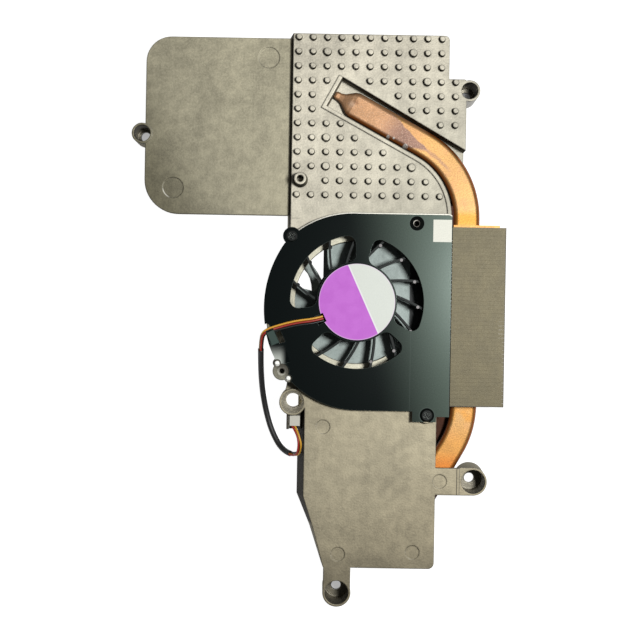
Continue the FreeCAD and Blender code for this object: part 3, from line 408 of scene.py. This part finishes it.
def castingFinish():
    f = Finish("castAluminium", 0.55, 0.52)
    # plates: the wing painted darker towards its far lower left and its bottom, and the lower plate towards
    # its lower right and its foot, as painted light falloff; the pin plate lighter towards its upper left
    wing = f.mix(f.ramp(0 - f.x - 0.5 * f.y, *casting["wingFade"]), casting["wing"], casting["wingFar"])
    wing = f.shade(wing, 0.62 + 0.0067 * f.y)
    pinPlate = f.mix(f.ramp(f.y - f.x, *casting["pinFade"]), casting["pinPlate"], casting["pinPlateBright"])
    lower = f.mix(f.ramp(0.5 * f.x - f.y, *casting["lowerFade"]), casting["lower"], casting["lowerFar"])
    lower = f.shade(lower, 1 - 0.24 * f.ramp(0 - f.y, *casting["footFade"]))
    onPinPlate = f.ramp(f.x, *casting["wingSide"]) * f.ramp(f.y, *casting["pinFoot"])
    colour = f.mix(onPinPlate, wing, pinPlate)
    colour = f.mix(f.ramp(0 - f.y, *casting["lowerTop"]), colour, lower)
    # fan bay and lug; the bay floor beyond the throat's line is painted dark as shade
    reach = f.away(casting["fan"])
    inBay = (1 - f.ramp(reach, *casting["bayReach"])) * (1 - f.ramp(f.z, *casting["bayTop"]))
    onLedge = inBay * f.ramp(reach, *casting["ledgeReach"]) * f.ramp(f.z, *casting["ledgeFoot"])
    colour = f.mix(inBay, colour, casting["bay"])
    colour = f.mix(onLedge, colour, casting["ledge"])
    colour = f.mix(inBay * f.ramp(f.x, *casting["throatShadeFrom"]), colour, casting["throatShade"])
    lug = f.disc(casting["lugPlace"], casting["lugRadius"], 0.2)
    lugRing = f.inside(f.away(casting["lugPlace"]), *casting["lugRing"], 0.15)
    colour = f.mix(lug, colour, casting["lug"])
    colour = f.mix(lugRing, colour, casting["ring"])
    # mottling, from wide clouds to fine dust
    cloud = f.noise(0.07, 3.0)
    patches = f.noise(0.35, 3.0)
    grain = f.noise(1.9, 3.0)
    dust = f.noise(6.0, 2.0)
    streak = f.noise(0.9, 3.0, (1.0, 0.07, 1.0))
    mottle = 0.2 * f.ramp(cloud, 0.3, 0.7) + 0.2 * f.ramp(patches, 0.3, 0.7) + 0.05 * f.ramp(streak, 0.3, 0.7)
    mottle = mottle + 0.2 * f.ramp(grain, 0.3, 0.7) + 0.18 * f.ramp(dust, 0.35, 0.65)
    colour = f.shade(colour, 0.575 + mottle)
    # walls in painted shade, darker on the sides that turn from the lamp and near black on the pin plate's
    # and groove's walls and on the wall beside the wire loop, with painted light on walls that face the lamp;
    # and the posts' cups
    cup = 0
    for spot, radius, top in casting["cups"]:
        cup = cup + f.disc(spot, radius, 0.1) * (1 - f.ramp(f.z, top - 0.3, top - 0.15))
    funnel = f.disc(*casting["funnel"], 0.1)
    plain = (1 - cup) * (1 - funnel)
    wallShare = (1 - f.ramp(f.up, 0.25, 0.8)) * plain
    shy = f.lean(0.55, casting["shyWay"])
    nearBlackWalls = f.ramp(f.y, *casting["pinWall"][0]) * f.ramp(f.z, *casting["pinWall"][1])
    nearBlackWalls = nearBlackWalls + f.inside(f.x, *casting["loopWall"][0], 0.3) * f.inside(f.y, *casting["loopWall"][1], 0.5)
    shadeTone = f.mix(nearBlackWalls, casting["outerWall"], casting["wall"])
    wall = f.mix(f.ramp(shy, -0.6, 0.15), casting["wallLight"], shadeTone)
    colour = f.mix(wallShare * 0.9, colour, wall)
    # painted shade in corners and recesses, and on faces turned from the lamp
    colour = f.mix(f.crevice(0.9) * 0.3 * plain * (1 - inBay), colour, casting["shadeAndGrime"])
    shyTone = f.mix(wallShare * (1 - nearBlackWalls), casting["shadeAndGrime"], shadeTone)
    colour = f.mix(f.ramp(shy, 0.1, 0.5) * 0.85 * plain, colour, shyTone)
    colour = f.mix(cup, colour, casting["cup"])
    colour = f.mix(funnel * f.ramp(grain, 0.25, 0.6), colour, casting["funnelTone"])
    # painted light and shade beside the lug, the pipe and the plug: a painted lit patch of casting under the
    # cover's slot, painted shade over the lug's upper right, behind the pipe and on the plug's shelf; a round
    # mark slightly darkened, with a painted highlight on its lower-left rim
    inSlot = f.disc(*casting["slotPatch"], 0.6) * (1 - f.ramp(f.z, *casting["slotTop"]))
    colour = f.mix(inSlot, colour, casting["edge"])
    lugX, lugY = casting["lugPlace"]
    lugFar = f.ramp(0.6 * (f.x - lugX) + 0.8 * (f.y - lugY), -1.3, 0.8)
    colour = f.mix(lug * lugFar * 0.8, colour, casting["shadeAndGrime"])
    pipeShade = f.inside(f.x, *casting["pipeWedge"][0], 0.05) * f.inside(f.y, *casting["pipeWedge"][1], 0.3)
    cornerX, cornerY, cornerTop = casting["pipeCorner"]
    pipeShade = pipeShade + f.ramp(f.x, *cornerX) * f.inside(f.y, *cornerY, 0.3) * (1 - f.ramp(f.z, *cornerTop))
    colour = f.mix(pipeShade * 0.95, colour, casting["shadeBehindPipe"])
    markPlace, markRadius = casting["roundMark"]
    colour = f.mix(f.disc(markPlace, markRadius, 0.2) * 0.12, colour, casting["shadeAndGrime"])
    arc = f.inside(f.away(markPlace), markRadius - 0.2, markRadius + 0.1, 0.1)
    arc = arc * f.ramp(0 - 0.8 * (f.x - markPlace[0]) - 0.6 * (f.y - markPlace[1]), 2.3, 2.9)
    colour = f.mix(arc * 0.85, colour, casting["edge"])
    shelf = f.inside(f.x, *casting["plugShelf"][0], 0.1) * f.inside(f.y, *casting["plugShelf"][1], 0.1)
    colour = f.mix(shelf * (1 - f.ramp(f.z, *casting["shelfTop"])) * 0.9, colour, casting["shadeAndGrime"])
    # scribed lines, painted highlights on rims that face the lamp, the top of the bay's rim in the near-white
    # edge tone, pegs, and the empty hole in painted shade with a painted glint
    lineX, lineY = casting["armLine"]
    halfX, halfY = casting["armLineHalf"]
    armLine = f.inside(f.x, lineX - halfX, lineX + halfX, 0.08)
    armLine = armLine * f.inside(f.y, lineY - halfY, lineY + halfY, 0.3)
    lineAt, lineEnd = casting["plateLine"]
    half = casting["plateLineHalf"]
    plateLine = f.inside(f.y, lineAt - half, lineAt + half, 0.08)
    plateLine = plateLine * (1 - f.ramp(f.x, lineEnd - 1, lineEnd + 1))
    colour = f.mix(armLine * 0.85 + plateLine * 0.4, colour, casting["shadeAndGrime"])
    rim = f.edge(0.3) * f.ramp(0 - shy, 0.05, 0.4)
    colour = f.mix(rim * 0.7 * f.ramp(grain, 0.3, 0.6) * plain, colour, casting["edge"])
    rimHeight, rimFoot = casting["bayRim"]
    bayRim = f.inside(f.z, *rimHeight, 0.1) * f.ramp(f.y, *rimFoot) * f.ramp(f.up, 0.5, 0.9)
    colour = f.mix(bayRim, colour, casting["edge"])
    for spot in casting["pegs"]:
        colour = f.mix(f.disc(spot, casting["pegRadius"], 0.12), colour, casting["peg"])
    holeX, holeY = casting["emptyHole"]
    holeRadius, glintRadius = casting["holeRadii"]
    colour = f.mix(f.disc(casting["emptyHole"], holeRadius, 0.1) * 0.9, colour, casting["shadeAndGrime"])
    glint = f.disc(casting["emptyHole"], glintRadius, 0.1) * f.ramp(f.y - holeY - f.x + holeX, 0.4, 1.0)
    colour = f.mix(glint * 0.35, colour, casting["edge"])
    pits = f.ramp(f.cells(0.9), 0.0, 0.16)
    f.set("Base Color", f.shade(colour, 0.88 + 0.12 * pits))
    # walls and the shade behind the pipe are made more metallic, so that they stay dark
    f.set("Metallic", 0.55 + 0.25 * cup + 0.45 * f.most(wallShare, pipeShade) - 0.25 * funnel)
    f.set("Roughness", 0.44 + 0.16 * grain - 0.14 * cup + 0.3 * wallShare)
    f.bump(grain * 0.6 + dust * 0.4, 0.05, 0.4)
    return f.material


# bare copper: golden where it lies open, tarnished in the groove; painted shade round its sides, painted
# highlights by the fins and on a dent
copper = {
    "open": tone(168, 129, 77),
    "dull": tone(152, 112, 78),
    "low": tone(172, 123, 60),
    "lowEnd": tone(179, 107, 36),
    "groove": tone(193, 147, 107),
    "stain": tone(131, 100, 85),
    "speck": tone(214, 190, 168),
    # the dent's tone below is a painted shadow, the side tones and the rim tone are painted shade and painted
    # light, and the yellow tone is a painted highlight on the upper run
    "dentShadow": tone(128, 88, 60),
    "side": tone(160, 92, 40),
    "lightSide": tone(212, 158, 112),
    "rim": tone(58, 26, 16),
    "yellowTint": tone(168, 112, 22),
    "solder": tone(214, 212, 206),
    "grooveStart": (8.0, 67.0),
    "grooveWay": (0.824, -0.567),
    "tarnishTip": (29.5, 0.57),                  # along and across the groove
    "streakStart": (32.0, 51.2),
    "streakWay": (0.75, -0.66),
    "dentPlace": ((9.7, 64.2), (11.1, 64.7)),
    "dentRadii": (0.9, 0.7),
    "solderDots": (((20.65, 54.75), 0.5), ((25.8, 51.9), 0.75), ((22.3, 54.3), 0.3)),
    "bendFrom": (36, 42),                        # runs over which one tone turns into the next
    "brightTo": (28, 40),
    "lowFrom": (28, 37),
    "lowEndFrom": (37.5, 43),
    "stainFrom": (11, 21),
    "grooveTo": (24, 28),
    "sideFrom": (1.5, 5.5),
    "highlightRun": (28.5, 32.5),
    "lowYellowRun": (-29.5, -25.0),
    "hiddenFrom": ((49, 50), (32, 33)),
    "shyWay": (-0.57, -0.82, 0.0),               # away from the key lamp
}


def copperFinish():
    f = Finish("bareCopper", 0.6, 0.42)
    cloud = f.noise(0.22, 4.0)
    grain = f.noise(2.6, 3.0)
    fine = f.noise(5.5, 2.0)

    def run(start, way):
        along = (f.x - start[0]) * way[0] + (f.y - start[1]) * way[1]
        return along, (f.y - start[1]) * way[0] - (f.x - start[0]) * way[1]

    # open run: golden, with a dull streak, redder towards the low end
    along, across = run(copper["grooveStart"], copper["grooveWay"])
    aboveBend = f.ramp(f.y, *copper["bendFrom"])
    colour = f.mix(f.ramp(cloud, 0.4, 0.65) * 0.6, copper["open"], copper["dull"])
    colour = f.shade(colour, 1 + 0.35 * (1 - f.ramp(along, *copper["brightTo"])) * aboveBend)
    colour = f.mix(f.ramp(0 - f.y, *copper["lowFrom"]), colour, copper["low"])
    colour = f.mix(f.ramp(0 - f.y, *copper["lowEndFrom"]), colour, copper["lowEnd"])
    streakAlong, streakAcross = run(copper["streakStart"], copper["streakWay"])
    streak = f.inside(streakAcross + 3 * (cloud - 0.5), -0.5, 0.35, 0.35) * f.inside(streakAlong, 0, 9, 1.5)
    colour = f.mix(streak * 0.6, colour, copper["stain"])
    # groove: tarnished, with a ragged tip and specks, and a dent drawn as a painted highlight beside a
    # painted shadow
    tipAlong, tipAcross = copper["tarnishTip"]
    aside = across - tipAcross + 2.4 * (cloud - 0.5)
    back = f.most(5.0 * aside, -1.7 * aside)
    tarnish = (1 - f.ramp(along + back, tipAlong - 0.9, tipAlong + 0.9)) * aboveBend
    groove = f.mix(f.ramp(along + 6 * (cloud - 0.5), *copper["stainFrom"]), copper["groove"], copper["stain"])
    groove = f.mix(f.ramp(fine, 0.58, 0.68) * 0.5, groove, copper["speck"])
    dentHighlightSpot, dentShadowSpot = copper["dentPlace"]
    lightRadius, darkRadius = copper["dentRadii"]
    groove = f.mix(f.disc(dentHighlightSpot, lightRadius, 0.7) * 0.4, groove, copper["speck"])
    groove = f.mix(f.disc(dentShadowSpot, darkRadius, 0.6) * 0.6, groove, copper["dentShadow"])
    colour = f.mix(tarnish, colour, groove)
    # yellow by the fins, a painted highlight on the upper run and patches on the lower run; then the rounded
    # sides in painted shade, with painted light in the groove on the sides that face the lamp
    lowYellow = f.inside(f.y, *copper["lowYellowRun"], 0.7) * f.ramp(cloud, 0.35, 0.55)
    yellowTint = f.inside(f.y, *copper["highlightRun"], 1.2) * 0.8 + lowYellow * 0.6
    colour = f.mix(yellowTint, colour, copper["yellowTint"])
    colour = f.shade(colour, 0.68 + 0.34 * f.ramp(grain, 0.3, 0.7) + 0.3 * f.ramp(cloud, 0.3, 0.7))
    shy = f.facing(f.normal, copper["shyWay"])
    inGroove = (1 - f.ramp(along, *copper["grooveTo"])) * aboveBend
    side = f.mix(inGroove * (1 - f.ramp(shy, -0.1, 0.1)), copper["side"], copper["lightSide"])
    colour = f.mix((1 - f.ramp(f.up, 0.8, 0.985)) * f.ramp(along, *copper["sideFrom"]), colour, side)
    colour = f.mix(1 - f.ramp(f.up, 0.3, 0.65), colour, copper["rim"])
    for spot, radius in copper["solderDots"]:
        colour = f.mix(f.disc(spot, radius, 0.12) * f.ramp(grain, 0.3, 0.5), colour, copper["solder"])
    # painted shade on the low end, where it runs hidden
    hiddenY, hiddenX = copper["hiddenFrom"]
    colour = f.mix(f.ramp(0 - f.y, *hiddenY) * f.ramp(f.x, *hiddenX), colour, copper["rim"])
    f.set("Base Color", colour)
    f.set("Roughness", 0.36 + 0.16 * cloud)
    f.bump(grain, 0.02)
    return f.material


# dull folded sheet, with painted shade on its steep faces and along its right and bottom borders
fins = {
    "sheet": tone(99, 91, 63),
    "speck": tone(88, 80, 54),
    "edge": tone(52, 46, 35),
    "right": 55.35,
    "foot": -24.6,
}


def finFinish():
    f = Finish("finSheet", 0.3, 0.5)
    grain = f.noise(4.0, 3.0)
    streak = f.noise(0.8, 2.0, (1.0, 0.12, 1.0))
    colour = f.mix(f.ramp(grain, 0.35, 0.7), fins["sheet"], fins["speck"])
    patches = f.ramp(f.noise(0.3, 3.0), 0.3, 0.7)
    colour = f.shade(colour, 0.76 + 0.16 * streak + 0.16 * patches + 0.16 * f.ramp(grain, 0.35, 0.65))
    # painted shade on steep faces and along the right and bottom borders
    colour = f.mix(1 - f.ramp(f.up, 0.3, 0.8), colour, fins["edge"])
    border = f.ramp(f.x, fins["right"] - 0.35, fins["right"] - 0.15)
    border = border + (1 - f.ramp(f.y, fins["foot"] + 0.15, fins["foot"] + 0.35)) * (1 - border)
    colour = f.mix(border * 0.8, colour, fins["edge"])
    f.set("Base Color", colour)
    f.set("Roughness", 0.42 + 0.16 * grain)
    f.bump(grain, 0.03)
    return f.material


# dark coated sheet, with a painted sheen towards the right, painted highlights where it is pressed down to
# the lug, on its tongue and along its fold, painted shade in its pits, and edges lighter from wear and
# painted highlight
cover = {
    # of the colours below, the second is a painted sheen, the third painted shade, the fifth wear and painted
    # highlight, and the last two painted highlights
    "sheet": tone(9, 14, 15),
    "sheenTone": tone(88, 102, 92),
    "pitShade": tone(2, 3, 3),
    "tint": (0.84, 1.0, 0.92, 1.0),
    "wearAndHighlight": tone(84, 94, 89),
    "dust": tone(44, 50, 48),
    "tongueSheen": tone(72, 87, 82),
    "pressedHighlight": tone(206, 212, 204),
    "rightEdge": 39.5,
    "foldAt": 27.9,
    "pits": ((29.2, 28.67), (33.05, -27.3)),
    "pitRadius": 2.1,
    "tonguePlace": (-12.3, -5.4),
    "tongueWay": (0.41, -0.91),
    "tongueRuns": ((-2.0, 2.0), (-1.25, 1.15)),  # along and across
    "sheenRun": (14, 44),
    "foldEnd": (-3, 1),
    "pressedX": (-14.0, -9.3),
    "pressedFrom": (7.2, 12.4),
    "pressedTo": (13.6, 14.4),
}


def coverFinish():
    f = Finish("coatedSheet", 0.0, 0.2)
    f.set("Specular IOR Level", 0.17)
    f.set("Specular Tint", cover["tint"])
    grain = f.noise(3.0, 3.0)
    dust = f.ramp(f.noise(5.0, 1.0), 0.68, 0.8)
    # painted sheen: the sheet lighter towards the right and the top
    sheen = f.ramp(f.x + 0.2 * f.y + 1.5 * grain, *cover["sheenRun"])
    colour = f.mix(sheen, cover["sheet"], cover["sheenTone"])
    colour = f.shade(colour, 0.8 + 0.4 * grain)
    # painted highlight along the fold; edges lighter from wear and painted highlight, most along the right
    # edge
    foldAt = cover["foldAt"]
    fold = f.inside(f.x, foldAt - 0.1, foldAt + 0.1, 0.08) * (1 - f.ramp(f.y, *cover["foldEnd"]))
    colour = f.mix(fold * 0.25, colour, cover["wearAndHighlight"])
    colour = f.mix(dust * 0.2, colour, cover["dust"])
    colour = f.mix(f.edge(0.25) * 0.7, colour, cover["wearAndHighlight"])
    rightEdge = f.ramp(f.x, cover["rightEdge"] - 0.35, cover["rightEdge"] - 0.2)
    colour = f.mix(rightEdge * 0.8, colour, cover["wearAndHighlight"])
    # painted shade in the two pits, each ringed by a painted highlight
    pitShade = 0
    for spot in cover["pits"]:
        colour = f.mix(f.disc(spot, cover["pitRadius"] + 0.3, 0.12) * 0.4, colour, cover["wearAndHighlight"])
        pitShade = pitShade + f.disc(spot, cover["pitRadius"], 0.1)
    colour = f.mix(pitShade, colour, cover["pitShade"])
    # painted sheen on the tongue
    placeX, placeY = cover["tonguePlace"]
    wayX, wayY = cover["tongueWay"]
    along = (f.x - placeX) * wayX + (f.y - placeY) * wayY
    across = (f.x - placeX) * (0 - wayY) + (f.y - placeY) * wayX
    alongRun, acrossRun = cover["tongueRuns"]
    tongueSheen = f.inside(along, *alongRun, 0.15) * f.inside(across, *acrossRun, 0.15)
    colour = f.mix(tongueSheen, colour, cover["tongueSheen"])
    # painted highlight where the sheet is pressed down to the lug
    pressed = f.ramp(0 - f.y, *cover["pressedFrom"]) * f.inside(f.x, *cover["pressedX"], 1.1)
    pressed = pressed * (1 - f.ramp(0 - f.y, *cover["pressedTo"]))
    colour = f.mix(pressed, colour, cover["pressedHighlight"])
    f.set("Base Color", colour)
    f.set("Roughness", 0.18 + 0.04 * grain + 0.7 * pitShade)
    f.bump(grain, 0.003, 0.12)
    return f.material


# hub label: two bare colours that meet on a straight line
label = {
    "purple": tone(208, 116, 222),
    "purpleDeep": tone(203, 110, 217),
    "pale": tone(228, 233, 224),
    "line": tone(246, 246, 246),
    "rim": tone(240, 214, 242),
    "middle": (12.1, 5.45),
    "radius": 11.15,
    "chord": ((9.7, 15.7), (18.5, -3.6)),        # where the two colours meet
}


def labelFinish():
    f = Finish("labelFilm", 0.0, 0.45)
    f.set("Specular IOR Level", 0.15)
    start, end = (Vector(point) for point in label["chord"])
    across = Vector((end.y - start.y, start.x - end.x)).normalized()
    beyond = (f.x - start.x) * -across.x + (f.y - start.y) * -across.y
    cloud = f.noise(0.25, 3.0)
    purple = f.mix(f.ramp(cloud, 0.4, 0.65), label["purple"], label["purpleDeep"])
    colour = f.mix(f.ramp(beyond, -0.08, 0.08), purple, label["pale"])
    colour = f.mix(f.inside(beyond, -0.2, 0.2, 0.06), colour, label["line"])
    rim = f.ramp(f.away(label["middle"]), label["radius"] - 0.3, label["radius"] - 0.1)
    colour = f.mix(rim * 0.6, colour, label["rim"])
    colour = f.shade(colour, 0.93 + 0.14 * f.noise(4.0, 2.0))
    f.set("Base Color", colour)
    f.set("Roughness", 0.4 + 0.12 * cloud)
    f.bump(cloud, 0.02)
    return f.material


def plainFinish(name, colour, metallic, roughness, spread=0.3, scale=2.5, depth=0.01):
    # an even material with fine variation of tone, gloss and surface
    f = Finish(name, metallic, roughness)
    grain = f.noise(scale, 3.0)
    f.set("Base Color", f.shade(colour, 1 - spread / 2 + spread * grain))
    f.set("Roughness", roughness - 0.08 + 0.16 * grain)
    f.bump(grain, depth)
    return f.material


# black moulded fan, with painted highlights on the small beads near the blades' tips, on the side towards the
# lamp
fan = {"plastic": tone(26, 32, 30), "bead": tone(160, 156, 155), "beadFrom": 13.28, "beadSide": (6, 22)}


def fanFinish():
    f = Finish("fanPlastic", 0.0, 0.5)
    f.set("Specular IOR Level", 0.2)
    grain = f.noise(2.5, 3.0)
    colour = f.shade(fan["plastic"], 0.8 + 0.4 * grain)
    # painted highlight on the bead tops, only on the lamp's side
    bead = f.ramp(f.z, fan["beadFrom"], fan["beadFrom"] + 0.04) * f.ramp(f.x, *fan["beadSide"])
    f.set("Base Color", f.mix(bead, colour, fan["bead"]))
    f.set("Roughness", 0.45 + 0.12 * grain)
    f.bump(grain, 0.01)
    return f.material


# blackened screws, with painted shade in the cross and lighter edges
screw = {"steel": tone(15, 19, 17), "recessShade": tone(3, 3, 3), "edge": tone(150, 158, 150)}


def screwFinish():
    f = Finish("blackScrew", 0.1, 0.42)
    f.set("Specular IOR Level", 0.15)
    grain = f.noise(3.0, 3.0)
    colour = f.shade(screw["steel"], 0.75 + 0.5 * grain)
    # painted shade in the cross
    colour = f.mix(f.crevice(0.6), colour, screw["recessShade"])
    colour = f.mix(f.edge(0.22) * 0.7, colour, screw["edge"])
    f.set("Base Color", colour)
    f.set("Roughness", 0.38 + 0.12 * grain)
    f.bump(grain, 0.01, 0.08)
    return f.material


plainSet = {
    "labelPaper": (tone(240, 240, 226), 0.0, 0.6),
    "motorIron": (tone(104, 104, 106), 0.8, 0.4),
    "bondedMagnet": (tone(58, 57, 56), 0.1, 0.6),
    "groundSteel": (tone(190, 190, 188), 1.0, 0.25),
    "bearingBronze": (tone(160, 120, 66), 0.9, 0.4),
    "tubeBrass": (tone(196, 162, 84), 0.9, 0.3),
    "boardLacquer": (tone(34, 82, 48), 0.0, 0.4),
    "coilEnamel": (tone(176, 84, 40), 0.6, 0.35),
    "wireYellow": (tone(228, 170, 58), 0.0, 0.42),
    "wireRed": (tone(166, 48, 38), 0.0, 0.42),
    "wireBlack": (tone(30, 28, 28), 0.0, 0.42),
    "shrinkSleeve": (tone(34, 34, 34), 0.0, 0.5),
    "plugNylon": (tone(206, 203, 190), 0.0, 0.4),
    "contactTin": (tone(200, 188, 140), 0.9, 0.35),
}
finishes = {name: plainFinish(name, *values) for name, values in plainSet.items()}
finishes["casting"] = castingFinish()
finishes["copper"] = copperFinish()
finishes["finSheet"] = finFinish()
finishes["cover"] = coverFinish()
finishes["label"] = labelFinish()
finishes["fanPlastic"] = fanFinish()
finishes["blackScrew"] = screwFinish()

nodeFinish = {
    "base_casting": "casting", "heat_pipe": "copper", "fin_base_plate": "copper",
    "cpu_contact_plate": "copper", "fin_stack": "finSheet", "fan_cover": "cover",
    "cover_screws": "blackScrew", "fan_label": "label",
    "date_label": "labelPaper", "bearing_tube": "tubeBrass", "sleeve_bearing": "bearingBronze",
    "motor_board": "boardLacquer", "stator_core": "motorIron", "stator_coils": "coilEnamel",
    "fan_impeller": "fanPlastic", "rotor_yoke": "motorIron", "rotor_magnet": "bondedMagnet",
    "rotor_shaft": "groundSteel", "shaft_clip": "groundSteel", "lead_connector": "plugNylon",
    "connector_contacts": "contactTin",
}
for nodeName, finishName in nodeFinish.items():
    for slot in nodes[nodeName].material_slots:
        slot.material = finishes[finishName]
wireFinish = {"lead_yellow": "wireYellow", "lead_red": "wireRed", "lead_black": "wireBlack"}
for nodeName, finishName in wireFinish.items():
    wirePieces[nodeName][0].data.materials.append(finishes[finishName])
sleeve.data.materials.append(finishes["shrinkSleeve"])
print("finishes set")


# folded edges of the fins, which close the top of the stack
flanges = {"count": 44, "seam": 0.08, "gap": 0.02, "thick": 0.03}


def addFlanges():
    low, high = (Vector(corner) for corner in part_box("fin_stack"))
    pitch = (high.y - low.y + flanges["seam"] * milli) / flanges["count"]
    width = pitch - flanges["gap"] * milli
    thick = flanges["thick"] * milli
    size = Matrix.Diagonal((high.x - low.x, width, thick, 1))
    shape = bmesh.new()
    for step in range(flanges["count"]):
        place = Vector(((low.x + high.x) / 2, low.y + step * pitch + width / 2, high.z + thick / 2))
        bmesh.ops.create_cube(shape, size=1, matrix=Matrix.Translation(place) @ size)
    piece = addMesh("finFlanges", shape)
    piece.data.materials.append(finishes["finSheet"])
    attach(piece, "housing")


# small flat pieces: spoke across the bay's floor inlet, neck from lug to post, ledge between cover and pipe,
# which the casting's finish paints dark as shade
plates = {
    "inletSpoke": {
        "outline": ((-3.75, 15.3), (-2.6, 14.0), (-1.9, 12.5), (-1.45, 10.6), (-1.25, 8.5), (0.3, 7.9),
                    (2.3, 11.2), (0.3, 14.6), (-2.0, 17.95)),
        "low": 0.6,
        "high": 1.2,
    },
    "lugNeck": {
        "outline": ((-7.9, -17.6), (-6.2, -18.3), (-4.2, -20.7), (-8.9, -22.2), (-8.3, -20.0)),
        "low": 7.0,
        "high": 9.0,
    },
    "pipeLedge": {
        "outline": ((39.0, 25.2), (41.6, 25.2), (41.6, 34.6), (39.0, 34.6)),
        "low": 7.4,
        "high": 8.4,
    },
}


def addPlate(name):
    size = plates[name]
    shape = bmesh.new()
    corners = [shape.verts.new(toMetres((*corner, size["low"]))) for corner in size["outline"]]
    face = shape.faces.new(corners)
    grown = bmesh.ops.extrude_face_region(shape, geom=[face])
    upper = [item for item in grown["geom"] if isinstance(item, bmesh.types.BMVert)]
    bmesh.ops.translate(shape, verts=upper, vec=toMetres((0, 0, size["high"] - size["low"])))
    bmesh.ops.recalc_face_normals(shape, faces=shape.faces)
    piece = addMesh(name, shape)
    piece.data.materials.append(finishes["casting"])
    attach(piece, "housing")


addFlanges()
for plateName in plates:
    addPlate(plateName)
print("fin edges and small plates added")


# pale floor and studio light: a small key lamp beside the camera, and a dim sky
studio = {
    "floorSize": 3000.0,
    "floorBelow": 0.02,                          # just under the posts' feet
    "floorTone": 0.3,
    "floorShadow": 0.02,
    # painted shade on the floor under the holes of three screw posts
    "postHoleShade": (((-52.3, 54.5), 0.4), ((44.3, 68.2), 0.05), ((7.6, -80.1), 0.4)),  # under screw posts
    "spotRadius": 2.2,
    "keyPlace": (125.0, 25.0, 372.0),
    "keyAim": (10.0, 0.0, 10.0),
    "keyWidth": 64.0,
    "keyPower": 1.2,
    "sky": 0.1,
}


def backdrop(name, seen, unseen):
    # white where the camera looks, with discs of painted shade under the screw posts' holes, and plain grey
    # for the light that comes back from it
    f = Finish(name, 0.0, 0.9)
    rays = [f.node("ShaderNodeLightPath", {}, {}, kind) for kind in
            ("Is Camera Ray", "Is Glossy Ray", "Is Transmission Ray")]
    looking = f.most(f.most(rays[0], rays[1]), rays[2])
    f.set("Base Color", (unseen, unseen, unseen, 1))
    colour = (seen, seen, seen, 1)
    for spot, level in studio["postHoleShade"]:
        colour = f.mix(f.disc(spot, studio["spotRadius"], 0.2), colour, (level, level, level, 1))
    f.set("Emission Color", f.mix(looking, (0, 0, 0, 1), colour))
    f.set("Emission Strength", 1.0)
    return f.material


def addFloor():
    shape = bmesh.new()
    bmesh.ops.create_grid(shape, x_segments=1, y_segments=1, size=studio["floorSize"] * milli)
    bmesh.ops.translate(shape, verts=shape.verts, vec=toMetres((0, 0, -studio["floorBelow"])))
    floor = addMesh("floor", shape)
    floor.data.materials.append(backdrop("paleFloor", 1 - studio["floorShadow"], studio["floorTone"]))


def addLamp(name, place, aim, width, power):
    lampData = bpy.data.lights.new(name, "AREA")
    lampData.shape = "DISK"
    lampData.size = width * milli
    lampData.energy = power
    lamp = bpy.data.objects.new(name, lampData)
    lamp.location = toMetres(place)
    lamp.rotation_euler = (toMetres(place) - toMetres(aim)).to_track_quat("Z", "Y").to_euler()
    lamp.visible_camera = False
    scene.collection.objects.link(lamp)


addFloor()
addLamp("keyLamp", studio["keyPlace"], studio["keyAim"], studio["keyWidth"], studio["keyPower"])
world = bpy.data.worlds.new("studio")
world.use_nodes = True
world.node_tree.nodes["Background"].inputs["Color"].default_value = (1, 1, 1, 1)
world.node_tree.nodes["Background"].inputs["Strength"].default_value = studio["sky"]
scene.world = world
print("studio lit")

bpy.context.view_layer.update()
